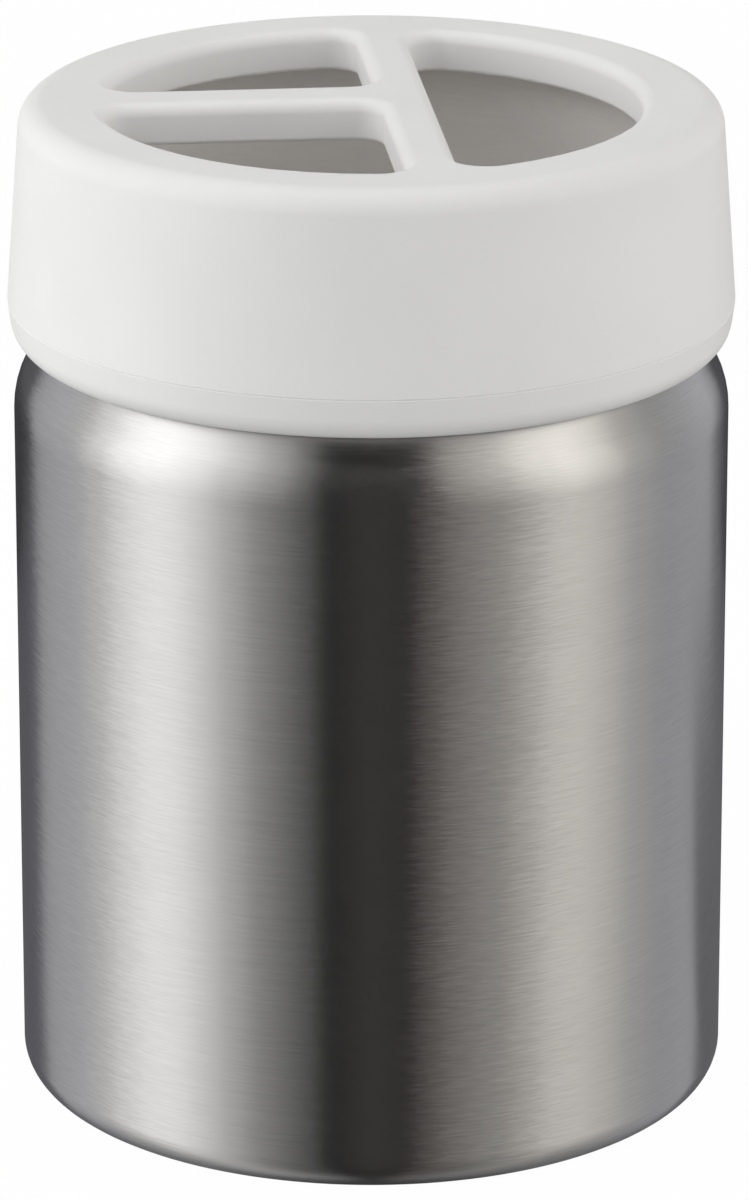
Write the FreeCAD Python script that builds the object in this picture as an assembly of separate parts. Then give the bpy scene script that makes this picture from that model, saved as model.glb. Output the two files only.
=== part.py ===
import FreeCAD, Part
import math
import os
from FreeCAD import Vector

# Toothbrush holder: a drawn steel can under a white push-on lid, with a T of bars across its top.
# Lengths are in millimetres, angles in degrees. The can's axis is Z, and the holder stands on Z = 0.

# Foot pad, a thin soft ring under the can's base
pad_thickness = 0.7
pad_width = 7.5
pad_inset = 1.0             # from the end of the base's rounding inwards
pad_edge_round = 0.2

# Steel can, one drawn sheet
can_radius = 35.0
sheet = 0.7
wall_height = 69.5          # from the base to the start of the shoulder
base_round = 3.5
panel_inset = 1.0           # from the pad inwards to the raised middle of the base
panel_rise = 1.2
panel_round = 3.0
shoulder_round = 9.2
shoulder_slope = 27.0       # of the cone between the shoulder's rounding and the neck's
shoulder_shown = 6.7        # height of the shoulder below the lid's lower edge
neck_round = 2.0
hem_height = 2.0            # the rim's sheet is folded inwards and down by this much

# Lid cover, the white moulding with the openings
lid_overhang = 0.5          # of the lid past the can's wall, at the seam
cover_height = 19.65        # from the seam to the top
cover_draft = 4.2           # slope of the outer wall
edge_round = 2.5
plate = 2.2
skirt_wall = 2.3            # beside the collar's spigot, at the seam
ledge_width = 1.2           # the step in the skirt that the grip ring lies under
neck_gap = 1.2              # between the skirt and the can's neck
lip_wall = 2.4
lip_depth = 4.1             # of the lips and bars, from the top
lip_clearance = 0.7         # between the lips and the rim's fold

# T of bars and the openings beside it
long_bar_width = 5.0
long_bar_x = 3.4            # the long bar runs along Y, off the middle by this much
short_bar_width = 6.0
short_bar_y = 2.35          # the short bar runs from the long one towards -X
corner_round = 2.8          # of the openings' corners, seen from above
bar_round = 1.3             # of the upper edges round the openings
bar_round_share = 0.4       # of a bar's width that its upper rounding can take at most
low_edge_round = 0.5

# Lid collar, the white ring below the seam
collar_height = 4.45        # from the lid's lower edge to the seam
collar_draft = 8.0
collar_round = 2.8
spigot_height = 4.0
spigot_clearance = 0.05
seam_bevel = 0.1
seat_clearance = 0.3        # between the collar and the can
rim_clearance = 0.3         # between the can's rim and the lid's plate

# Grip ring, trapped between the collar's spigot and the cover's ledge
ring_height = 2.2
ring_play = 0.1
running_clearance = 0.05

# Cutting solids reach past what they cut by the overrun, and points closer than the tolerance are one point
overrun = 1.0
tolerance = 0.001

# Heights
base_z = pad_thickness
shoulder_z = base_z + wall_height
lid_low_z = shoulder_z + shoulder_shown
seam_z = lid_low_z + collar_height
top_z = seam_z + cover_height
spigot_top_z = seam_z + spigot_height
ledge_z = spigot_top_z + ring_height + 2 * ring_play
plate_z = top_z - plate
lip_z = top_z - lip_depth
rim_z = plate_z - rim_clearance

# Radii, from the lid's outside inwards
lid_radius = can_radius + lid_overhang
spigot_radius = lid_radius - skirt_wall
skirt_radius = spigot_radius - ledge_width
neck_radius = skirt_radius - neck_gap
lip_radius = neck_radius - 2 * sheet - lip_clearance
opening_radius = lip_radius - lip_wall
pad_outer_radius = can_radius - base_round - pad_inset
pad_inner_radius = pad_outer_radius - pad_width

axis_start = Vector(0, 0, 0)
axis = Vector(0, 0, 1)


def place(radius, height):
    return Vector(radius, 0, height)


def corner(radius, height):
    """A corner of an outline, as a list of one place."""
    return [place(radius, height)]


def arc(centre, radius, start, end):
    """An arc of an outline, as its start, middle and end. Angles count from +X towards +Z."""
    angles = [math.radians(a) for a in (start, (start + end) / 2, end)]
    return [centre + place(radius * math.cos(a), radius * math.sin(a)) for a in angles]


def turned(outline):
    """Solid of revolution. Straight lines join the outline's corners and arcs, and close it."""
    edges = []
    last = outline[-1][-1]
    for step in outline:
        if step[0].distanceToPoint(last) > tolerance:
            edges.append(Part.LineSegment(last, step[0]).toShape())
        if len(step) > 1:
            edges.append(Part.Arc(*step).toShape())
        last = step[-1]
    return Part.Face(Part.Wire(edges)).revolve(axis_start, axis, 360)


def backwards(outline):
    return [step[::-1] for step in reversed(outline)]


# Shoulder and neck: two arcs that bend opposite ways, with a cone between them that runs on from both
bend_span = shoulder_round + neck_round
cone_angle = math.radians(shoulder_slope)
shoulder_centre = place(can_radius - shoulder_round, shoulder_z)
cone_width = shoulder_centre.x + bend_span * math.cos(cone_angle) - neck_radius - neck_round
cone_height = cone_width / math.tan(cone_angle)
neck_centre = place(neck_radius + neck_round, shoulder_z + bend_span * math.sin(cone_angle) + cone_height)


def shoulder_and_neck(offset):
    """The can's shoulder and the bend into its neck, moved out from the sheet's outer face by the offset."""
    return [
        arc(shoulder_centre, shoulder_round + offset, 0, shoulder_slope),
        arc(neck_centre, neck_round - offset, 180 + shoulder_slope, 180),
    ]


def can_face(offset):
    """The can's face from the middle of the base to the neck, moved out from the outer face by the offset."""
    turn = math.degrees(math.acos(1 - panel_rise / (2 * panel_round)))
    outer = pad_inner_radius - panel_inset
    inner = outer - 2 * panel_round * math.sin(math.radians(turn))
    inner_centre = place(inner, base_z + panel_rise - panel_round)
    return [
        corner(0, base_z + panel_rise - offset),
        arc(inner_centre, panel_round - offset, 90, 90 - turn),
        arc(place(outer, base_z + panel_round), panel_round + offset, 270 - turn, 270),
        arc(place(can_radius - base_round, base_z + base_round), base_round + offset, -90, 0),
        *shoulder_and_neck(offset),
    ]


def steel_can():
    """One sheet, from the raised middle of the base to the rim, where its edge is folded inwards."""
    fold_radius = neck_radius - 2 * sheet
    rim = [
        arc(place(neck_radius - sheet, rim_z - sheet), sheet, 0, 180),
        corner(fold_radius, rim_z - hem_height),
        corner(neck_radius - sheet, rim_z - hem_height),
    ]
    return turned(can_face(0) + rim + backwards(can_face(-sheet)))


def foot_pad():
    """Flat ring stuck to the base, with its lower edges rounded."""
    return turned([
        corner(pad_inner_radius, pad_thickness),
        arc(place(pad_inner_radius + pad_edge_round, pad_edge_round), pad_edge_round, 180, 270),
        arc(place(pad_outer_radius - pad_edge_round, pad_edge_round), pad_edge_round, -90, 0),
        corner(pad_outer_radius, pad_thickness),
    ])


def cover_blank():
    """Top, skirt and lips turned as one, before the openings are cut."""
    slope = math.radians(cover_draft)
    rise = cover_height - edge_round
    edge_radius = lid_radius - (edge_round + rise * math.sin(slope)) / math.cos(slope)
    return turned([
        corner(0, top_z),
        arc(place(edge_radius, top_z - edge_round), edge_round, 90, cover_draft),
        corner(lid_radius - seam_bevel * math.tan(slope), seam_z + seam_bevel),
        corner(lid_radius - seam_bevel, seam_z),
        corner(spigot_radius, seam_z),
        corner(spigot_radius, ledge_z),
        corner(skirt_radius, ledge_z),
        corner(skirt_radius, plate_z),
        corner(lip_radius, plate_z),
        corner(lip_radius, lip_z),
        corner(0, lip_z),
    ])


def opening_cutters():
    """The three spaces beside the bars, with rounded corners."""
    height = lip_depth + 2 * overrun
    reach = opening_radius + overrun
    low = lip_z - overrun
    right = long_bar_x + long_bar_width / 2
    left = long_bar_x - long_bar_width / 2
    front = short_bar_y - short_bar_width / 2
    back = short_bar_y + short_bar_width / 2
    round_hole = Part.makeCylinder(opening_radius, height, Vector(0, 0, low))
    # The round hole's seam is turned under the long bar, clear of every opening.
    round_hole.rotate(axis_start, axis, math.degrees(math.acos(long_bar_x / opening_radius)))
    cutters = []
    for x0, x1, y0, y1 in (
        (right, reach, -reach, reach),
        (-reach, left, -reach, front),
        (-reach, left, back, reach),
    ):
        cutter = round_hole.common(Part.makeBox(x1 - x0, y1 - y0, height, Vector(x0, y0, low)))
        upright = [e for e in cutter.Edges if e.BoundBox.ZLength > height - tolerance]
        cutters.append(cutter.makeFillet(corner_round, upright))
    return cutters


def edges_at(shape, height, radius):
    """Edges that lie flat at a height, inside a radius."""
    level = [e for e in shape.Edges if all(abs(v.Z - height) < tolerance for v in e.Vertexes)]
    return [e for e in level if all(math.hypot(v.X, v.Y) < radius + tolerance for v in e.Vertexes)]


def lid_cover():
    """The cover with its three openings, rounded along their upper and lower edges."""
    cover = cover_blank()
    for cutter in opening_cutters():
        cover = cover.cut(cutter)
    limit = bar_round_share * min(long_bar_width, short_bar_width)
    cover = cover.makeFillet(min(bar_round, limit), edges_at(cover, top_z, opening_radius))
    return cover.makeFillet(low_edge_round, edges_at(cover, lip_z, lip_radius))


def lid_collar():
    """Ring below the seam with a spigot inside the skirt. Room for the can is cut from its inside."""
    slope = math.radians(collar_draft)
    drop = collar_height - collar_round
    low_radius = lid_radius - (collar_round + drop * math.sin(slope)) / math.cos(slope)
    plug_radius = spigot_radius - spigot_clearance
    blank = turned([
        corner(0, lid_low_z),
        arc(place(low_radius, lid_low_z + collar_round), collar_round, -90, -collar_draft),
        corner(lid_radius - seam_bevel * math.tan(slope), seam_z - seam_bevel),
        corner(lid_radius - seam_bevel, seam_z),
        corner(plug_radius, seam_z),
        corner(plug_radius, spigot_top_z),
        corner(0, spigot_top_z),
    ])
    room = turned([
        corner(0, shoulder_z),
        *shoulder_and_neck(seat_clearance),
        corner(neck_radius + seat_clearance, spigot_top_z + overrun),
        corner(0, spigot_top_z + overrun),
    ])
    return blank.cut(room)


def grip_ring():
    """Ring with a crowned inner face, whose crown runs on the can's neck."""
    low = spigot_top_z + ring_play
    high = low + ring_height
    outer = spigot_radius - ring_play
    edge = neck_radius + seat_clearance
    crown = [place(edge, high), place(neck_radius + running_clearance, (low + high) / 2), place(edge, low)]
    return turned([crown, corner(outer, low), corner(outer, high)])


os.makedirs("parts", exist_ok=True)
for make in (steel_can, foot_pad, lid_cover, lid_collar, grip_ring):
    shape = make()
    shape.exportStep(f"parts/{make.__name__}.step")
    box = shape.optimalBoundingBox()
    print(make.__name__, len(shape.Solids), "solid", round(shape.Volume), "mm3",
          "width", round(box.XLength, 2), "from height", round(box.ZMin, 2), "to", round(box.ZMax, 2))
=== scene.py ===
# %% [markdown]
# # A toothbrush holder: brushed steel can, white divided lid
# The real object is a deep-drawn steel can, brushed round and round, under a push-on lid of matt white
# plastic. A T of bars parts the lid's top into three openings. The CAD model holds every size and every
# joint. This lesson dresses it: each piece is turned or filled again as a fine mesh in the same place,
# because the CAD mesh has flat facets that show on a shiny can, and each gets a finish made of nodes.

# %% Load the CAD frame
import math

import bmesh
import bpy
from mathutils import Matrix, Vector


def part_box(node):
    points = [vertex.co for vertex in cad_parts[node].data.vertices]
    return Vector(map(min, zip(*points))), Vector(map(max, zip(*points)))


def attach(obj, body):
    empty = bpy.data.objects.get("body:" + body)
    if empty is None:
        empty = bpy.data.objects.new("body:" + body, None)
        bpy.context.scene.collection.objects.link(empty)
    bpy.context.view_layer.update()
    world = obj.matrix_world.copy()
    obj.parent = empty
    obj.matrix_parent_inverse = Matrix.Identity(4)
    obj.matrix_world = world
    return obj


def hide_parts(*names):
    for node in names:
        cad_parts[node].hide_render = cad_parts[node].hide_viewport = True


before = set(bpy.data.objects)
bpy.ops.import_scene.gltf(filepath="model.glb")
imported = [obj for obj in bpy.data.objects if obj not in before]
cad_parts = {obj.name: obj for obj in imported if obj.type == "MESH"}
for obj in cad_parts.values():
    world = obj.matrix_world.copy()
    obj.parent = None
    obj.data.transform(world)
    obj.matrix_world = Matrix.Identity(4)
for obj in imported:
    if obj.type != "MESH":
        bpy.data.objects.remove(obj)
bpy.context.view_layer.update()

# %% [markdown]
# ## Sizes
# Heights and radii that other pieces meet are read from the CAD nodes' boxes, so they can't drift apart.
# Smaller sizes, such as the sheet and the roundings, are written once, in millimetres times `mm`, because
# Blender works in metres.

# %% Read the sizes that the pieces share
mm = 0.001
can_low, can_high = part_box("steel_can")
pad_low, pad_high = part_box("foot_pad")
cover_low, cover_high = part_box("lid_cover")
collar_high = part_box("lid_collar")[1]
ring_low, ring_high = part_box("grip_ring")

base_z = can_low.z
rim_z = can_high.z
can_radius = can_high.x
seam_z = cover_low.z
spigot_top_z = collar_high.z
top_z = cover_high.z
lid_radius = cover_high.x
pad_radius = pad_high.x

sheet = 0.7 * mm
neck_radius = 30.8 * mm
skirt_radius = 32.0 * mm
spigot_radius = 33.2 * mm
print(f"can radius {can_radius / mm:.2f} mm, lid radius {lid_radius / mm:.2f} mm")
print(f"height {top_z / mm:.2f} mm")

# %% [markdown]
# ## The camera
# The photograph looks down on the holder from a little above, with a long lens, so the can's sides stay
# almost parallel. Angle, distance and lens were solved from the outline of the can and the lid, and a
# camera is placed by walking back from a target on the axis. Turning the object instead would look the
# same here, but every other view would then be turned as well.

# %% Place the camera
view_azimuth = math.radians(-5.65)
view_elevation = math.radians(18.93)
view_distance = 719.7 * mm
view_side = 0.26 * mm
view_height = 49.64 * mm
# Blender counts these two in millimetres.
sensor_width = 36.0
lens_length = 218.1

target = Vector((view_side * math.cos(view_azimuth), view_side * math.sin(view_azimuth), view_height))
flat_reach = math.cos(view_elevation)
towards_camera = Vector((
    math.sin(view_azimuth) * flat_reach,
    -math.cos(view_azimuth) * flat_reach,
    math.sin(view_elevation),
))
camera_data = bpy.data.cameras.new("camera")
camera_data.sensor_width = sensor_width
camera_data.lens = lens_length
camera = bpy.data.objects.new("camera", camera_data)
camera.location = target + towards_camera * view_distance
camera.rotation_mode = "QUATERNION"
camera.rotation_quaternion = (-towards_camera).to_track_quat("-Z", "Y")
bpy.context.scene.collection.objects.link(camera)
bpy.context.scene.camera = camera
bpy.context.scene.view_settings.view_transform = "Standard"
print("camera at", [round(c, 4) for c in camera.location])

# %% [markdown]
# ## Small helpers for nodes
# A finish is a graph of nodes. Two helpers keep the graphs short: one adds a node and sets it up, the
# other adds a Math node and wires what goes into it. A number goes into the socket as it is, and a socket
# of another node becomes a link.

# %% Helpers that add and wire nodes
def add(tree, kind, **settings):
    """Adds a node of a kind and sets its properties."""
    node = tree.nodes.new(kind)
    for name, value in settings.items():
        setattr(node, name, value)
    return node


def feed(tree, socket, value):
    """Puts a number or colour into a socket, or links another node's output to it."""
    if isinstance(value, bpy.types.NodeSocket):
        tree.links.new(value, socket)
    else:
        socket.default_value = value


def calc(tree, operation, *values, clamp=False):
    """Adds a Math node and returns its output."""
    node = add(tree, "ShaderNodeMath", operation=operation, use_clamp=clamp)
    for socket, value in zip(node.inputs, values):
        feed(tree, socket, value)
    return node.outputs["Value"]


def smooth_range(tree, value, low, high, to_low=0.0, to_high=1.0):
    """Maps a value from one range to another with soft ends, and returns the output."""
    node = add(tree, "ShaderNodeMapRange", interpolation_type="SMOOTHSTEP")
    for socket, number in zip(node.inputs, (value, low, high, to_low, to_high)):
        feed(tree, socket, number)
    return node.outputs["Result"]


def mix_colours(tree, factor, first, second, blend="MIX"):
    """Adds a Mix node for colours and returns its output."""
    node = add(tree, "ShaderNodeMix", data_type="RGBA", blend_type=blend)
    feed(tree, node.inputs["Factor"], factor)
    feed(tree, node.inputs["A"], first)
    feed(tree, node.inputs["B"], second)
    return node.outputs["Result"]


def grey(value):
    """A neutral colour of a brightness."""
    return (value, value, value, 1.0)


print("node helpers ready")

# %% [markdown]
# ## The studio
# Polished metal has hardly any colour of its own: it looks like what stands around it. The photograph's
# can shows a dark band in the middle, where the dark room behind the camera is mirrored, a soft white
# panel on each side of it, and dark cards at both edges that draw its outline. So the world is a ring of
# cards, whose colour depends on the compass direction. The can's wall mirrors the lower cards, and its
# shoulder the upper ones, which are wider and brighter because the soft boxes' light spreads there. Cards
# as real planes would do the same, but they would get in the way of other views.

# %% List the cards of the studio
plain = (1.0, 0.995, 0.985)
warm = (1.0, 0.965, 0.91)
brown = (1.0, 0.91, 0.87)
cool = (0.985, 0.985, 1.04)

# Each card: degrees to the right of the camera's direction, brightness and tint of what stands there.
lower_cards = (
    (-180, 0.10, cool),
    (-143, 0.13, cool),
    (-136, 0.42, cool),
    (-113, 0.51, cool),
    (-99, 0.60, plain),
    (-88, 0.89, plain),
    (-77, 1.14, plain),
    (-67, 1.11, plain),
    (-56, 0.78, plain),
    (-46, 0.48, plain),
    (-37, 0.26, plain),
    (-28, 0.17, plain),
    (-20, 0.11, plain),
    (-15, 0.02, plain),
    (0, 0.06, brown),
    (12, 0.04, brown),
    (18, 0.12, brown),
    (25, 0.18, brown),
    (40, 0.26, warm),
    (52, 0.41, warm),
    (62, 0.67, warm),
    (72, 0.69, warm),
    (83, 0.60, warm),
    (96, 0.47, plain),
    (110, 0.41, cool),
    (139, 0.46, cool),
    (146, 0.10, cool),
    (180, 0.10, cool),
)
upper_cards = (
    (-180, 0.10, cool),
    (-146, 0.13, cool),
    (-139, 0.51, cool),
    (-124, 0.60, cool),
    (-110, 0.66, plain),
    (-97, 1.20, plain),
    (-85, 1.77, plain),
    (-72, 1.85, plain),
    (-60, 1.50, plain),
    (-46, 0.95, plain),
    (-32, 0.53, plain),
    (-22, 0.20, plain),
    (-15, 0.02, plain),
    (13, 0.03, brown),
    (19, 0.13, brown),
    (28, 0.48, warm),
    (40, 0.71, warm),
    (56, 1.27, warm),
    (68, 1.48, warm),
    (79, 1.22, warm),
    (92, 0.63, warm),
    (106, 0.42, plain),
    (146, 0.62, cool),
    (154, 0.07, cool),
    (180, 0.10, cool),
)
print("cards:", len(lower_cards), "lower and", len(upper_cards), "upper")

# %% Build the ring of cards in the world
def ring_of_cards(tree, place, cards):
    """The colour of a ring of cards at a place from 0 to 1 round the ring, from behind to behind."""
    ramp = add(tree, "ShaderNodeValToRGB")
    ramp.color_ramp.interpolation = "EASE"
    stops = ramp.color_ramp.elements
    while len(stops) < len(cards):
        stops.new(0.5)
    for stop, (degrees, brightness, tint) in zip(stops, cards):
        stop.position = degrees / 360 + 0.5
        stop.color = (*(brightness * part for part in tint), 1.0)
    tree.links.new(place, ramp.inputs["Fac"])
    return ramp.outputs["Color"]


# Heights of a direction: -1 is straight down, 0 the horizon and 1 straight up.
upper_start = -0.48
upper_full = 0.32
floor_darkest = -0.9
floor_lightest = -0.5
floor_dark_share = 0.55
ceiling_start = 0.94
ceiling_full = 0.99
ceiling_light = (7.0, 6.9, 6.7, 1.0)

world = bpy.data.worlds.new("studio")
world.use_nodes = True
bpy.context.scene.world = world
sky = world.node_tree
sky.nodes.clear()
where = add(sky, "ShaderNodeTexCoord")
turn = add(sky, "ShaderNodeMapping", vector_type="POINT")
turn.inputs["Rotation"].default_value = (0, 0, -view_azimuth)
sky.links.new(where.outputs["Generated"], turn.inputs["Vector"])
parts = add(sky, "ShaderNodeSeparateXYZ")
sky.links.new(turn.outputs["Vector"], parts.inputs["Vector"])
forward = calc(sky, "MULTIPLY", parts.outputs["Y"], -1.0)
angle = calc(sky, "ARCTAN2", parts.outputs["X"], forward)
place = calc(sky, "MULTIPLY_ADD", angle, 0.5 / math.pi, 0.5)
height = parts.outputs["Z"]
upper_share = smooth_range(sky, height, upper_start, upper_full)
lower = ring_of_cards(sky, place, lower_cards)
upper = ring_of_cards(sky, place, upper_cards)
studio = mix_colours(sky, upper_share, lower, upper)
floor_shade = smooth_range(sky, height, floor_darkest, floor_lightest, floor_dark_share, 1.0)
studio = mix_colours(sky, 1.0, studio, floor_shade, "MULTIPLY")
ceiling = smooth_range(sky, height, ceiling_start, ceiling_full)
studio = mix_colours(sky, ceiling, studio, ceiling_light)
print("studio of two rings, blended by height, under a bright ceiling")

# %% [markdown]
# Light Path tells what kind of ray asks for the world's colour. The camera and clear things get plain
# white. Glossy rays get the ring of cards, so the steel shows the studio. Diffuse rays get an even
# light, which stands for what bounces about a pale room and keeps the lid's shadows soft.

# %% Answer each kind of ray
room_bounce = 0.605

path = add(sky, "ShaderNodeLightPath")
for_surfaces = mix_colours(sky, path.outputs["Is Glossy Ray"], grey(room_bounce), studio)
see_white = calc(sky, "MAXIMUM", path.outputs["Is Camera Ray"], path.outputs["Is Transmission Ray"])
seen = mix_colours(sky, see_white, for_surfaces, grey(1.0))
background = add(sky, "ShaderNodeBackground")
sky.links.new(seen, background.inputs["Color"])
sky_output = add(sky, "ShaderNodeOutputWorld")
sky.links.new(background.outputs["Background"], sky_output.inputs["Surface"])
print("world answers camera, glossy and diffuse rays")

# %% [markdown]
# ## Floor and lamps
# The floor is a plain pale sheet. For the camera most of its colour is a glow of strength 1, which is
# white and throws no light worth naming on the holder, and the rest is the real pale sheet, so the
# holder's soft shadow still shows. Two tall soft boxes, a strong one on the left and a weaker, warmer one
# on the right, shape the white lid. The steel doesn't mirror them, because an area lamp is even all over
# and shows as a patch with hard sides. The ring of cards holds their soft mirror images instead. The floor
# lies a hair below the foot, because two faces in one plane would flicker.

# %% Make the floor
floor_half = 4.0
floor_gap = 0.05 * mm
floor_glow = 0.985
floor_grey = 0.63
floor_rough = 0.9

floor_mesh = bpy.data.meshes.new("floor")
bm = bmesh.new()
lowered = Matrix.Translation((0, 0, -floor_gap))
bmesh.ops.create_grid(bm, x_segments=1, y_segments=1, size=floor_half, matrix=lowered)
bm.to_mesh(floor_mesh)
bm.free()
floor = bpy.data.objects.new("floor", floor_mesh)
bpy.context.scene.collection.objects.link(floor)
floor.visible_glossy = False

floor_paint = bpy.data.materials.new("pale_floor")
floor_paint.use_nodes = True
tree = floor_paint.node_tree
sheet_shader = tree.nodes["Principled BSDF"]
sheet_shader.inputs["Base Color"].default_value = grey(floor_grey)
sheet_shader.inputs["Roughness"].default_value = floor_rough
glow = add(tree, "ShaderNodeEmission")
glow.inputs["Strength"].default_value = 1.0
path = add(tree, "ShaderNodeLightPath")
seen_straight = calc(tree, "MAXIMUM", path.outputs["Is Camera Ray"], path.outputs["Is Transmission Ray"])
both = add(tree, "ShaderNodeMixShader")
tree.links.new(calc(tree, "MULTIPLY", seen_straight, floor_glow), both.inputs["Fac"])
tree.links.new(sheet_shader.outputs["BSDF"], both.inputs[1])
tree.links.new(glow.outputs["Emission"], both.inputs[2])
tree.links.new(both.outputs["Shader"], tree.nodes["Material Output"].inputs["Surface"])
floor_mesh.materials.append(floor_paint)
print("floor", floor_half * 2, "m across")

# %% [markdown]
# The dark strips at the can's edges have slanted sides, because what is mirrored there lies close by: the
# holder's own shadow on the floor, painted as two grey glowing cards beside it, and a dark card further
# behind it. Only glossy rays see them.
# Their corners are distances in millimetres to the right of the holder and behind it, as the camera stands.

# %% Lay the painted shadow cards beside the holder and the dark card behind it
card_lift = 0.1 * mm


def floor_card(name, corners, colour):
    """A flat card that lies just above the floor and shows in reflections only."""
    to_the_right = Vector((math.cos(view_azimuth), math.sin(view_azimuth), 0))
    behind = Vector((-math.sin(view_azimuth), math.cos(view_azimuth), 0))
    lift = Vector((0, 0, card_lift))
    bm = bmesh.new()
    bm.faces.new([bm.verts.new(to_the_right * x * mm + behind * y * mm + lift) for x, y in corners])
    mesh = bpy.data.meshes.new(name)
    bm.to_mesh(mesh)
    bm.free()
    paint = bpy.data.materials.new(name)
    paint.use_nodes = True
    paint.node_tree.nodes.remove(paint.node_tree.nodes["Principled BSDF"])
    shine = add(paint.node_tree, "ShaderNodeEmission")
    shine.inputs["Color"].default_value = colour
    output = paint.node_tree.nodes["Material Output"]
    paint.node_tree.links.new(shine.outputs["Emission"], output.inputs["Surface"])
    mesh.materials.append(paint)
    card = bpy.data.objects.new(name, mesh)
    bpy.context.scene.collection.objects.link(card)
    card.visible_camera = False
    card.visible_diffuse = False
    card.visible_transmission = False
    card.visible_shadow = False


# The two side cards are painted shadow: the holder's own shade on the floor, as the steel's edges mirror
# it.
left_shadow_corners = (
    (0, 0), (-6, -32), (-17, -29), (-26, -22), (-35, -12), (-52, 7),
    (-104, 64), (-142, 104), (-180, 150), (0, 150),
)
right_shadow_corners = (
    (0, 0), (0, 150), (126, 150), (134, 112), (129, 75), (112, 53),
    (52, 6), (35, -12), (26, -22), (17, -29), (6, -32),
)
back_corners = ((-180, 150), (126, 150), (120, 195), (118, 400), (-390, 400))
left_shadow_grey = (0.12, 0.12, 0.135, 1)
right_shadow_grey = (0.14, 0.14, 0.15, 1)
back_grey = (0.04, 0.04, 0.045, 1)
floor_card("left_painted_shadow_card", left_shadow_corners, left_shadow_grey)
floor_card("right_painted_shadow_card", right_shadow_corners, right_shadow_grey)
floor_card("back_dark_card", back_corners, back_grey)
print("cards lie beside and behind the holder")

# %% Hang the lamps
def lamp(name, azimuth, elevation, distance, width, length, power, colour):
    """A soft box with a long side, which looks at the middle of the holder."""
    data = bpy.data.lights.new(name, "AREA")
    data.shape = "RECTANGLE"
    data.size = width
    data.size_y = length
    data.energy = power
    data.color = colour
    made = bpy.data.objects.new(name, data)
    a = math.radians(azimuth) + view_azimuth
    e = math.radians(elevation)
    away = Vector((math.sin(a) * math.cos(e), -math.cos(a) * math.cos(e), math.sin(e)))
    made.location = target + away * distance
    made.rotation_mode = "QUATERNION"
    made.rotation_quaternion = away.to_track_quat("Z", "Y")
    made.visible_glossy = False
    bpy.context.scene.collection.objects.link(made)


lamp("left_box", azimuth=-80, elevation=22, distance=0.9, width=0.8, length=0.9,
     power=5.0, colour=(1.0, 0.995, 0.99))
lamp("right_box", azimuth=75, elevation=26, distance=0.9, width=0.6, length=0.8,
     power=2.4, colour=(1.0, 0.97, 0.93))

# %% [markdown]
# ## Shared effects
# Two effects serve several finishes, so each is a node group, built once and placed with its own values.
# *Fine grain* is the texture that a spark-eroded mould leaves on plastic and rubber: a tiny noise for the
# height and a slow one for uneven shade. *Brush strokes* are the scratches of an abrasive belt that runs
# round the can. A noise gets long round the can and thin along the outline when the two directions are
# scaled differently. The outline's own length comes with the mesh as the attribute `run`.

# %% Build the grain group
def new_group(name, inputs, outputs):
    """An empty shader node group with float sockets, and its input and output nodes."""
    tree = bpy.data.node_groups.new(name, "ShaderNodeTree")
    for socket, kind in inputs:
        tree.interface.new_socket(socket, in_out="INPUT", socket_type=kind)
    for socket in outputs:
        tree.interface.new_socket(socket, in_out="OUTPUT", socket_type="NodeSocketFloat")
    return tree, add(tree, "NodeGroupInput"), add(tree, "NodeGroupOutput")


def noise(tree, vector, scale, detail, roughness):
    """Adds a Noise texture and returns its grey output, from 0 to 1."""
    node = add(tree, "ShaderNodeTexNoise")
    tree.links.new(vector, node.inputs["Vector"])
    feed(tree, node.inputs["Scale"], scale)
    node.inputs["Detail"].default_value = detail
    node.inputs["Roughness"].default_value = roughness
    return node.outputs["Fac"]


fine_grain, entry, leave = new_group(
    "fine_grain",
    (
        ("Position", "NodeSocketVector"),
        ("Grains per Metre", "NodeSocketFloat"),
        ("Clouds per Metre", "NodeSocketFloat"),
    ),
    ("Grain", "Clouds"),
)
spot = entry.outputs["Position"]
grain = noise(fine_grain, spot, entry.outputs["Grains per Metre"], detail=3.0, roughness=0.6)
clouds = noise(fine_grain, spot, entry.outputs["Clouds per Metre"], detail=2.0, roughness=0.5)
fine_grain.links.new(grain, leave.inputs["Grain"])
fine_grain.links.new(clouds, leave.inputs["Clouds"])
print("group", fine_grain.name)

# %% Build the brush stroke group
brush_strokes, entry, leave = new_group(
    "brush_strokes",
    (
        ("Position", "NodeSocketVector"),
        ("Run", "NodeSocketFloat"),
        ("Stroke Length", "NodeSocketFloat"),
        ("Stroke Width", "NodeSocketFloat"),
    ),
    ("Strokes", "Hairlines", "Patches"),
)


def stretched_noise(tree, length, width, detail):
    """Noise in marks of a length round the can and a width along its outline."""
    apart = add(tree, "ShaderNodeSeparateXYZ")
    tree.links.new(entry.outputs["Position"], apart.inputs["Vector"])
    marks = add(tree, "ShaderNodeCombineXYZ")
    tree.links.new(calc(tree, "DIVIDE", apart.outputs["X"], length), marks.inputs["X"])
    tree.links.new(calc(tree, "DIVIDE", apart.outputs["Y"], length), marks.inputs["Y"])
    tree.links.new(calc(tree, "DIVIDE", entry.outputs["Run"], width), marks.inputs["Z"])
    return noise(tree, marks.outputs["Vector"], scale=1.0, detail=detail, roughness=0.6)


hairline_length_share = 3.0
hairline_width_share = 0.55
patch_length_share = 6.0
patch_width_share = 40.0

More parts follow.
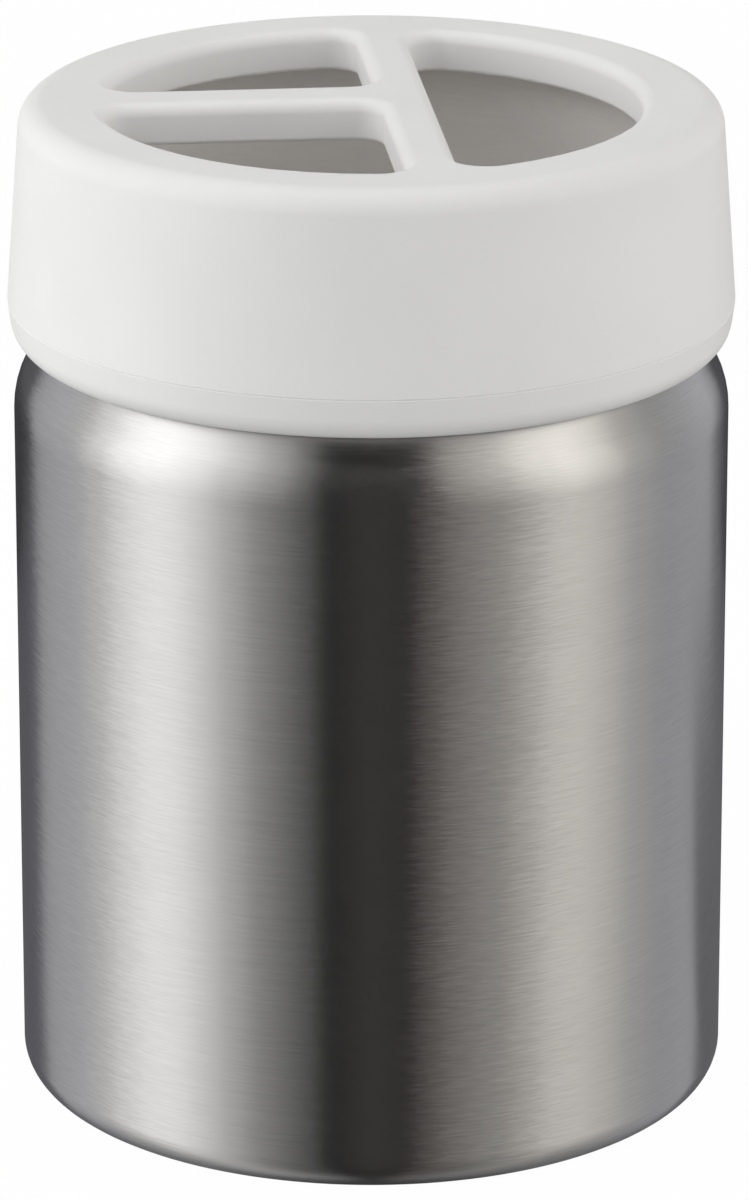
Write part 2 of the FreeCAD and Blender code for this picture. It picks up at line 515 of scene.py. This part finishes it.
length = entry.outputs["Stroke Length"]
width = entry.outputs["Stroke Width"]
strokes = stretched_noise(brush_strokes, length, width, detail=2.0)
hair_length = calc(brush_strokes, "MULTIPLY", length, hairline_length_share)
hair_width = calc(brush_strokes, "MULTIPLY", width, hairline_width_share)
hairlines = stretched_noise(brush_strokes, hair_length, hair_width, detail=1.0)
patch_length = calc(brush_strokes, "MULTIPLY", length, patch_length_share)
patch_width = calc(brush_strokes, "MULTIPLY", width, patch_width_share)
patches = stretched_noise(brush_strokes, patch_length, patch_width, detail=2.0)
brush_strokes.links.new(strokes, leave.inputs["Strokes"])
brush_strokes.links.new(hairlines, leave.inputs["Hairlines"])
brush_strokes.links.new(patches, leave.inputs["Patches"])
print("group", brush_strokes.name)

# %% [markdown]
# ## Finishes
# Each finish is one Principled shader. What varies over the surface comes from the groups, and what is
# the same all over is set on the shader itself.
#
# The steel is metallic, and its strokes make it *anisotropic*: they scatter light far across themselves,
# up and down, but little along themselves. That is why the studio's cards show as upright bands with
# clear sides. The Tangent node tells the shader which way the strokes run, from the map round the can.

# %% Mix the steel
def placed_group(tree, group, **values):
    """Places a node group in a material, on Object coordinates, with its own values."""
    node = add(tree, "ShaderNodeGroup", node_tree=group)
    where = add(tree, "ShaderNodeTexCoord")
    tree.links.new(where.outputs["Object"], node.inputs["Position"])
    for name, value in values.items():
        feed(tree, node.inputs[name.replace("_", " ")], value)
    return node.outputs


def new_finish(name):
    """A material with a Principled shader, as the material, its node tree and the shader."""
    material = bpy.data.materials.new(name)
    material.use_nodes = True
    return material, material.node_tree, material.node_tree.nodes["Principled BSDF"]


def raise_surface(tree, shader, height, depth):
    """Feeds the shader's Normal from a Bump node, whose height of 1 stands out by a depth in metres."""
    bump = add(tree, "ShaderNodeBump")
    bump.inputs["Distance"].default_value = depth
    tree.links.new(height, bump.inputs["Height"])
    tree.links.new(bump.outputs["Normal"], shader.inputs["Normal"])
    return bump.outputs["Normal"]


def tilt_strokes(tree, shader, normal, along, noise_value, reach):
    """Tilts the normal along the strokes by a noise from 0 to 1, so that each mirrors a spot of its own."""
    amount = calc(tree, "MULTIPLY_ADD", noise_value, reach, -reach / 2)
    tilted = add(tree, "ShaderNodeVectorMath", operation="MULTIPLY_ADD")
    tree.links.new(along, tilted.inputs[0])
    tree.links.new(amount, tilted.inputs[1])
    tree.links.new(normal, tilted.inputs[2])
    unit = add(tree, "ShaderNodeVectorMath", operation="NORMALIZE")
    tree.links.new(tilted.outputs["Vector"], unit.inputs[0])
    tree.links.new(unit.outputs["Vector"], shader.inputs["Normal"])


hairline_share = 0.5
patch_share = 0.15
mark_low = 0.36
mark_high = 0.64
stroke_tilt = 0.06


def steel(name, dark, light, stroke_length, stroke_width, rough, spread, depth):
    """Brushed steel, whose strokes vary its shade between two colours and its roughness about a middle."""
    material, tree, shader = new_finish(name)
    run = add(tree, "ShaderNodeAttribute", attribute_name="run")
    marks = placed_group(
        tree, brush_strokes, Run=run.outputs["Fac"], Stroke_Length=stroke_length, Stroke_Width=stroke_width,
    )
    coarse = calc(tree, "MULTIPLY", marks["Strokes"], 1 - hairline_share)
    scratches = calc(tree, "MULTIPLY_ADD", marks["Hairlines"], hairline_share, coarse)
    most = calc(tree, "MULTIPLY", scratches, 1 - patch_share)
    shade = calc(tree, "MULTIPLY_ADD", marks["Patches"], patch_share, most)
    contrast = smooth_range(tree, shade, mark_low, mark_high)
    tree.links.new(mix_colours(tree, contrast, dark, light), shader.inputs["Base Color"])
    roughness = smooth_range(tree, scratches, mark_low, mark_high, rough - spread, rough + spread)
    tree.links.new(roughness, shader.inputs["Roughness"])
    normal = raise_surface(tree, shader, scratches, depth)
    shader.inputs["Metallic"].default_value = 1.0
    return material, tree, shader, marks, normal


brushed_steel, tree, shader, marks, normal = steel(
    "brushed_steel", dark=(0.57, 0.565, 0.56, 1), light=(0.63, 0.625, 0.62, 1),
    stroke_length=2.0 * mm, stroke_width=0.12 * mm, rough=0.25, spread=0.018, depth=0.0025 * mm)
shader.inputs["Anisotropic"].default_value = 0.94
shader.inputs["Anisotropic Rotation"].default_value = 0.25
tangent = add(tree, "ShaderNodeTangent", direction_type="UV_MAP", uv_map="turned")
tree.links.new(tangent.outputs["Tangent"], shader.inputs["Tangent"])
tilt_strokes(tree, shader, normal, tangent.outputs["Tangent"], marks["Strokes"], stroke_tilt)

# Inside, the steel is duller, and its base colour is painted far lighter, for the light that falls in
# through the lid's openings.
drawn_steel_painted_bright, tree, shader, marks, normal = steel(
    "drawn_steel_painted_bright", dark=(0.89, 0.875, 0.86, 1), light=(0.92, 0.905, 0.89, 1),
    stroke_length=2.0 * mm, stroke_width=0.5 * mm, rough=0.75, spread=0.04, depth=0.002 * mm)
shader.inputs["Metallic"].default_value = 0.6
print("steels:", brushed_steel.name, drawn_steel_painted_bright.name)

# %% [markdown]
# The lid is a bright, matt moulding: white, a little uneven in shade, with the mould's fine grain that
# breaks up every reflection. The ring of silicone inside it is milky and softer. The foot is dark rubber.

# %% Mix the plastics and the rubber
clouds_per_metre = 70.0
grain_low = 0.3
grain_high = 0.7
rough_spread = 0.05


def moulded(name, light, dark, rough, grains, depth):
    """A grained plastic or rubber whose shade drifts slowly between two colours."""
    material, tree, shader = new_finish(name)
    marks = placed_group(tree, fine_grain, Grains_per_Metre=grains, Clouds_per_Metre=clouds_per_metre)
    drift = smooth_range(tree, marks["Clouds"], grain_low, grain_high)
    tree.links.new(mix_colours(tree, drift, dark, light), shader.inputs["Base Color"])
    roughest = rough + rough_spread
    roughness = smooth_range(tree, marks["Grain"], grain_low, grain_high, rough - rough_spread, roughest)
    tree.links.new(roughness, shader.inputs["Roughness"])
    raise_surface(tree, shader, marks["Grain"], depth)
    return material, shader


white_plastic, shader = moulded(
    "white_plastic", light=(0.83, 0.83, 0.825, 1), dark=(0.81, 0.81, 0.805, 1),
    rough=0.55, grains=3500.0, depth=0.004 * mm)
shader.inputs["Specular IOR Level"].default_value = 0.25

soft_silicone, shader = moulded(
    "soft_silicone", light=(0.76, 0.76, 0.75, 1), dark=(0.72, 0.72, 0.71, 1),
    rough=0.6, grains=2500.0, depth=0.004 * mm)
shader.inputs["Specular IOR Level"].default_value = 0.35

foot_rubber, shader = moulded(
    "foot_rubber", light=(0.07, 0.068, 0.066, 1), dark=(0.045, 0.044, 0.043, 1),
    rough=0.75, grains=2200.0, depth=0.01 * mm)
shader.inputs["Specular IOR Level"].default_value = 0.3
print("mouldings:", white_plastic.name, soft_silicone.name, foot_rubber.name)

# %% [markdown]
# ## Turning a piece
# All five pieces are round, so each starts as an outline, half a section through the piece. A pen draws
# it: a straight stretch extrudes the last vertex, and a round stretch spins that vertex about the arc's
# centre, which gives a true arc. Spinning the whole outline about Z then makes the piece. A lathe
# modifier would do the same, but the spin keeps the attribute `run` that the strokes need.

# %% Helpers that draw and turn an outline
same_point = 0.001 * mm
arc_step = math.radians(7)
turn_steps = 192
sharp_angle = math.radians(32)


def corner(radius, height):
    """A corner of an outline: where it is, with no centre and no turn."""
    return Vector((radius, 0, height)), None, 0.0


def arc(centre_radius, centre_height, radius, start, end):
    """A round stretch of an outline: its start, centre and turn. Degrees count from +X towards +Z."""
    centre = Vector((centre_radius, 0, centre_height))
    a = math.radians(start)
    return centre + radius * Vector((math.cos(a), 0, math.sin(a))), centre, math.radians(end - start)


def draw(bm, steps, axis):
    """Draws corners and arcs as one chain of edges. The axis is the one that the arcs turn about."""
    pen = bm.verts.new(steps[0][0])
    chain = [pen]
    for start, centre, turn in steps:
        if (start - pen.co).length > same_point:
            pen = bmesh.ops.extrude_vert_indiv(bm, verts=[pen])["verts"][0]
            pen.co = start
            chain.append(pen)
        if centre is None:
            continue
        count = max(2, math.ceil(abs(turn) / arc_step))
        for _ in range(count):
            spun = bmesh.ops.spin(bm, geom=[pen], cent=centre, axis=axis, angle=turn / count, steps=1)
            pen = next(part for part in spun["geom_last"] if isinstance(part, bmesh.types.BMVert))
            chain.append(pen)
    return chain


def turned(steps, closed=True):
    """Draws an outline and spins it about Z. An outline that ends on the axis isn't closed by an edge."""
    bm = bmesh.new()
    run = bm.verts.layers.float.new("run")
    chain = draw(bm, steps, (0, -1, 0))
    for last, this in zip(chain, chain[1:]):
        this[run] = last[run] + (this.co - last.co).length
    if closed:
        bm.edges.new((chain[-1], chain[0]))
    bmesh.ops.spin(
        bm, geom=bm.verts[:] + bm.edges[:], cent=(0, 0, 0), axis=(0, 0, 1),
        angle=2 * math.pi, steps=turn_steps, use_merge=True,
    )
    bmesh.ops.remove_doubles(bm, verts=bm.verts[:], dist=same_point)
    bmesh.ops.recalc_face_normals(bm, faces=bm.faces[:])
    return bm


def finished(name, bm, body, node, slot, *finishes):
    """Makes the mesh a piece that stands for a CAD node, rides on its body and wears its finishes."""
    mesh = bpy.data.meshes.new(name)
    bm.to_mesh(mesh)
    bm.free()
    for finish in finishes:
        mesh.materials.append(finish)
    mesh.shade_smooth()
    mesh.set_sharp_from_angle(angle=sharp_angle)
    piece = bpy.data.objects.new(name, mesh)
    bpy.context.scene.collection.objects.link(piece)
    flat_faces_lead = piece.modifiers.new("flat faces lead the shading", "WEIGHTED_NORMAL")
    flat_faces_lead.keep_sharp = True
    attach(piece, body)
    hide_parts(node)
    print(name, len(mesh.vertices), "vertices,", len(mesh.polygons), "faces")
    return piece


print("turning helpers ready, with", turn_steps, "steps a turn")

# %% [markdown]
# ## The foot
# A thin ring of rubber under the base keeps the can from sliding and from scratching the shelf. In the
# photograph only its front edge shows, as a fine dark line. The lower edges are rounded.

# %% Turn the rubber foot
pad_inner_radius = 23.0 * mm
pad_edge_round = 0.2 * mm

foot = turned((
    corner(pad_inner_radius, pad_high.z),
    arc(pad_inner_radius + pad_edge_round, pad_low.z + pad_edge_round, pad_edge_round, 180, 270),
    arc(pad_radius - pad_edge_round, pad_low.z + pad_edge_round, pad_edge_round, -90, 0),
    corner(pad_radius, pad_high.z),
))
finished("rubber_foot", foot, "can", "foot_pad", "foot_rubber", foot_rubber)

# %% [markdown]
# ## The can
# The can is one sheet, so its outline is a line with a thickness: out along the base, round the corner,
# up the wall, in over the shoulder, up the neck, round the rim, and back down inside. One function draws
# the outer face, and again the inner face, a sheet's thickness further in. The rim's edge is folded
# inwards, so that no sharp edge meets a hand.

# %% Turn the can
base_round = 3.5 * mm
panel_rise = 1.2 * mm
panel_round = 3.0 * mm
panel_radius = 22.0 * mm
shoulder_z = 70.2 * mm
shoulder_round = 9.2 * mm
shoulder_slope = 27.0
shoulder_shown = 6.7 * mm
neck_round = 2.0 * mm
hem_height = 2.0 * mm

bend_span = shoulder_round + neck_round
shoulder_middle = can_radius - shoulder_round
neck_middle = neck_radius + neck_round
cone_angle = math.radians(shoulder_slope)
cone_width = shoulder_middle + bend_span * math.cos(cone_angle) - neck_middle
neck_bend_z = shoulder_z + bend_span * math.sin(cone_angle) + cone_width / math.tan(cone_angle)
lid_low_z = shoulder_z + shoulder_shown
panel_turn = math.degrees(math.acos(1 - panel_rise / (2 * panel_round)))
panel_middle = panel_radius - 2 * panel_round * math.sin(math.radians(panel_turn))


def shoulder_and_neck(offset):
    """The shoulder and the bend into the neck, moved out from the can's outer face by an offset."""
    return (
        arc(shoulder_middle, shoulder_z, shoulder_round + offset, 0, shoulder_slope),
        arc(neck_middle, neck_bend_z, neck_round - offset, 180 + shoulder_slope, 180),
    )


def can_face(offset):
    """The can's face from the middle of its base to its neck, moved out by an offset."""
    return (
        corner(0, base_z + panel_rise - offset),
        arc(panel_middle, base_z + panel_rise - panel_round, panel_round - offset, 90, 90 - panel_turn),
        arc(panel_radius, base_z + panel_round, panel_round + offset, 270 - panel_turn, 270),
        arc(can_radius - base_round, base_z + base_round, base_round + offset, -90, 0),
        *shoulder_and_neck(offset),
    )


def backwards(steps):
    """An outline drawn from its end to its start."""
    turned_round = []
    for start, centre, turn in reversed(steps):
        if centre is None:
            turned_round.append((start, None, 0.0))
        else:
            end = centre + Matrix.Rotation(turn, 3, (0, -1, 0)) @ (start - centre)
            turned_round.append((end, centre, -turn))
    return tuple(turned_round)


rim = (
    arc(neck_radius - sheet, rim_z - sheet, sheet, 0, 180),
    corner(neck_radius - 2 * sheet, rim_z - hem_height),
    corner(neck_radius - sheet, rim_z - hem_height),
)
can = turned(can_face(0) + rim + backwards(can_face(-sheet)), closed=False)
print("can outline turned,", len(can.faces), "faces")

# %% [markdown]
# The strokes need a map that runs round the can: the first number goes round the axis and the second
# along the outline. Faces inside the can get the second finish, because only the outside was brushed.
# That finish is also painted far lighter than steel, for the light that falls in through the lid's
# openings.

# %% Map the can and share out its finishes
def map_round(bm, name):
    """A map whose first number goes round the axis, once a turn, and whose second follows the outline."""
    layer = bm.loops.layers.uv.new(name)
    run = bm.verts.layers.float["run"]
    longest = max(v[run] for v in bm.verts)
    for face in bm.faces:
        middle = face.calc_center_median()
        for loop in face.loops:
            spot = loop.vert.co
            aside = middle.x * spot.y - middle.y * spot.x
            along = middle.x * spot.x + middle.y * spot.y
            angle = math.atan2(middle.y, middle.x) + math.atan2(aside, along)
            loop[layer].uv = (angle / (2 * math.pi), loop.vert[run] / longest)


least_facing = 0.2


def faces_inside(bm):
    """The can's faces that look at its axis or up from its floor."""
    inside = []
    for face in bm.faces:
        spot = face.calc_center_median()
        flat = Vector((spot.x, spot.y, 0)).normalized()
        looks_in = face.normal.dot(flat) < -least_facing
        on_floor = face.normal.z > least_facing and spot.z < shoulder_z / 2
        if (looks_in and spot.z > base_z + base_round) or on_floor:
            inside.append(face)
    return inside


map_round(can, "turned")
for face in faces_inside(can):
    face.material_index = 1
finished("brushed_can", can, "can", "steel_can", "brushed_steel", brushed_steel, drawn_steel_painted_bright)

# %% [markdown]
# ## The grip ring
# Inside the lid a soft ring sits between the collar and a step in the cover, and its crowned inner face
# rubs on the can's neck. It shows only when the lid is off. The crown is one shallow arc through three
# points: its radius follows from the width and the height of the crown.

# %% Turn the silicone ring
edge_gap = 0.3 * mm
running_gap = 0.05 * mm

crown_edge = neck_radius + edge_gap
crown_top = neck_radius + running_gap
half_height = (ring_high.z - ring_low.z) / 2
crown_depth = crown_edge - crown_top
crown_round = (half_height ** 2 + crown_depth ** 2) / (2 * crown_depth)
crown_turn = math.degrees(math.asin(half_height / crown_round))
ring_middle = (ring_low.z + ring_high.z) / 2

ring = turned((
    arc(crown_top + crown_round, ring_middle, crown_round, 180 - crown_turn, 180 + crown_turn),
    corner(ring_high.x, ring_low.z),
    corner(ring_high.x, ring_high.z),
))
finished("silicone_ring", ring, "grip_ring", "grip_ring", "soft_ring", soft_silicone)

# %% [markdown]
# ## The collar
# The lower part of the lid is a ring of its own, and the fine line round the lid is where it meets the
# cover. Its outside slopes in a little and rounds under. Inside, a cone lies along the can's shoulder with
# a small gap, and a spigot stands up from it into the cover's skirt. The rounding is drawn only as far as
# the cone, and the turn at which they meet follows from the rounding's distance to the cone.

# %% Turn the collar
collar_draft = 8.0
collar_round = 2.8 * mm
seam_bevel = 0.1 * mm
seat_gap = 0.3 * mm
spigot_gap = 0.05 * mm

slope = math.radians(collar_draft)
collar_drop = seam_z - lid_low_z - collar_round
collar_low_radius = lid_radius - (collar_round + collar_drop * math.sin(slope)) / math.cos(slope)
cone_face = Vector((math.cos(cone_angle), 0, math.sin(cone_angle)))
cone_spot = Vector((shoulder_middle, 0, shoulder_z)) + (shoulder_round + seat_gap) * cone_face
round_spot = Vector((collar_low_radius, 0, lid_low_z + collar_round))
off_cone = cone_face.dot(round_spot - cone_spot)
edge_turn = shoulder_slope - math.degrees(math.acos(-off_cone / collar_round))

collar = turned((
    arc(neck_middle, neck_bend_z, neck_round - seat_gap, 180 + shoulder_slope, 180),
    corner(neck_radius + seat_gap, spigot_top_z),
    corner(spigot_radius - spigot_gap, spigot_top_z),
    corner(spigot_radius - spigot_gap, seam_z),
    corner(lid_radius - seam_bevel, seam_z),
    corner(lid_radius - seam_bevel * math.tan(slope), seam_z - seam_bevel),
    arc(collar_low_radius, lid_low_z + collar_round, collar_round, -collar_draft, edge_turn),
))
finished("white_collar", collar, "lid", "lid_collar", "white_plastic", white_plastic)

# %% [markdown]
# ## The cover
# The cover is round outside, but its openings aren't, so it is made of two kinds of surface. Outside,
# skirt and the underside of the plate are one turned strip. Each opening is a stack of closed loops,
# drawn in plan with the same pen: straight along the bars, and arcs in the corners and round the lip. The
# loops differ only in how far they have grown into the plastic and in their height, which rounds the
# edges, and bridging neighbours makes the wall. Last, the flat top and underside are filled between the
# loops. Cutting the holes with Boolean modifiers is quicker to write, but it leaves ragged edges that
# can't be rounded well.

# %% Lay out the openings in plan
opening_radius = 26.3 * mm
corner_round = 2.8 * mm
long_bar_x = 3.4 * mm
long_bar_width = 5.0 * mm
short_bar_y = 2.35 * mm
short_bar_width = 6.0 * mm

right = long_bar_x + long_bar_width / 2
left = long_bar_x - long_bar_width / 2
front = short_bar_y - short_bar_width / 2
back = short_bar_y + short_bar_width / 2
inner_reach = opening_radius - corner_round


def across(known):
    """How far out a corner's centre lies along one axis when it lies this far along the other."""
    return math.sqrt(inner_reach ** 2 - known ** 2)


def bearing(spot):
    """A point's direction from the axis, in degrees."""
    return math.degrees(math.atan2(spot[1], spot[0]))


wide_low = (right + corner_round, -across(right + corner_round))
wide_high = (right + corner_round, across(right + corner_round))
front_far = (-across(front - corner_round), front - corner_round)
front_near = (left - corner_round, -across(left - corner_round))
front_inner = (left - corner_round, front - corner_round)
back_near = (left - corner_round, across(left - corner_round))
back_far = (-across(back + corner_round), back + corner_round)
back_inner = (left - corner_round, back + corner_round)
middle = (0.0, 0.0)

openings = {
    # arcs in turn, anticlockwise: centre, radius, and the directions in which it starts and ends
    "wide": (
        (wide_low, corner_round, -180, bearing(wide_low)),
        (middle, opening_radius, bearing(wide_low), bearing(wide_high)),
        (wide_high, corner_round, bearing(wide_high), 180),
    ),
    "front": (
        (front_far, corner_round, 90, bearing(front_far) + 360),
        (middle, opening_radius, bearing(front_far) + 360, bearing(front_near) + 360),
        (front_near, corner_round, bearing(front_near) + 360, 360),
        (front_inner, corner_round, 0, 90),
    ),
    "back": (
        (back_near, corner_round, 0, bearing(back_near)),
        (middle, opening_radius, bearing(back_near), bearing(back_far)),
        (back_far, corner_round, bearing(back_far), 270),
        (back_inner, corner_round, 270, 360),
    ),
}
print("openings:", list(openings))

# %% Build the walls of the openings
bar_round = 1.3 * mm
low_edge_round = 0.5 * mm
lip_depth = 4.1 * mm
lip_radius = 28.7 * mm
edge_steps = 9
low_edge_steps = 4
lip_z = top_z - lip_depth


def plan_loop(bm, arcs, grow, height):
    """One closed loop of an opening, grown outwards into the plastic, at a height. Returns its edges."""
    steps = []
    for (x, y), radius, start, end in arcs:
        centre = Vector((x, y, height))
        a = math.radians(start)
        first = centre + (radius + grow) * Vector((math.cos(a), math.sin(a), 0))
        steps.append((first, centre, math.radians(end - start)))
    chain = draw(bm, steps, (0, 0, 1))
    edges = [bm.edges.get(pair) for pair in zip(chain, chain[1:])]
    if (chain[-1].co - chain[0].co).length > same_point:
        edges.append(bm.edges.new((chain[-1], chain[0])))
    return edges


def lip_section():
    """How far each loop of a wall has grown, and its height, from the top down."""
    section = []
    for i in range(edge_steps + 1):
        a = math.pi / 2 * i / edge_steps
        section.append((bar_round * (1 - math.sin(a)), top_z - bar_round * (1 - math.cos(a))))
    for i in range(low_edge_steps + 1):
        a = math.pi / 2 * i / low_edge_steps
        section.append((low_edge_round * (1 - math.cos(a)), lip_z + low_edge_round * (1 - math.sin(a))))
    return section


cover = bmesh.new()
top_rims = []
low_rims = []
for name, arcs in openings.items():
    loops = [plan_loop(cover, arcs, grow, height) for grow, height in lip_section()]
    for above, below in zip(loops, loops[1:]):
        bmesh.ops.bridge_loops(cover, edges=above + below)
    top_rims += loops[0]
    low_rims += loops[-1]
    print("opening", name, len(loops), "loops of", len(loops[0]), "edges")

# %% [markdown]
# The turned strip starts under the lip, runs out and down inside the skirt, up the outside and over the
# rounded edge to the flat top. It is spun in the same mesh. The two fills close the cover, and merging
# doubles sews the strip to them.

# %% Turn the outside and fill the flats
cover_draft = 4.2
edge_round = 2.5 * mm
plate = 2.2 * mm
ring_room = 2.4 * mm

slope = math.radians(cover_draft)
rise = top_z - seam_z - edge_round
edge_radius = lid_radius - (edge_round + rise * math.sin(slope)) / math.cos(slope)
ledge_z = spigot_top_z + ring_room
plate_z = top_z - plate

strip = draw(cover, (
    corner(lip_radius, lip_z),
    corner(lip_radius, plate_z),
    corner(skirt_radius, plate_z),
    corner(skirt_radius, ledge_z),
    corner(spigot_radius, ledge_z),
    corner(spigot_radius, seam_z),
    corner(lid_radius - seam_bevel, seam_z),
    corner(lid_radius - seam_bevel * math.tan(slope), seam_z + seam_bevel),
    arc(edge_radius, top_z - edge_round, edge_round, cover_draft, 90),
), (0, -1, 0))
strip_edges = [cover.edges.get(pair) for pair in zip(strip, strip[1:])]
bmesh.ops.spin(
    cover, geom=strip + strip_edges, cent=(0, 0, 0), axis=(0, 0, 1),
    angle=2 * math.pi, steps=turn_steps, use_merge=True,
)


def round_edges(bm, radius, height):
    """The edges of the turned strip's end, at a radius and a height."""
    def on_ring(v):
        return abs(v.co.z - height) < same_point and abs(math.hypot(v.co.x, v.co.y) - radius) < same_point
    return [e for e in bm.edges if e.is_boundary and all(on_ring(v) for v in e.verts)]


for rims, radius, height, up in ((top_rims, edge_radius, top_z, 1), (low_rims, lip_radius, lip_z, -1)):
    outside = round_edges(cover, radius, height)
    filled = bmesh.ops.triangle_fill(
        cover, use_beauty=True, use_dissolve=False, edges=rims + outside, normal=(0, 0, up))
    print("flat at", round(height / mm, 2), "mm:", len(filled["geom"]), "parts")
bmesh.ops.remove_doubles(cover, verts=cover.verts[:], dist=same_point)
bmesh.ops.recalc_face_normals(cover, faces=cover.faces[:])
print("open edges:", sum(not e.is_manifold for e in cover.edges))
finished("white_cover", cover, "lid", "lid_cover", "white_plastic", white_plastic)
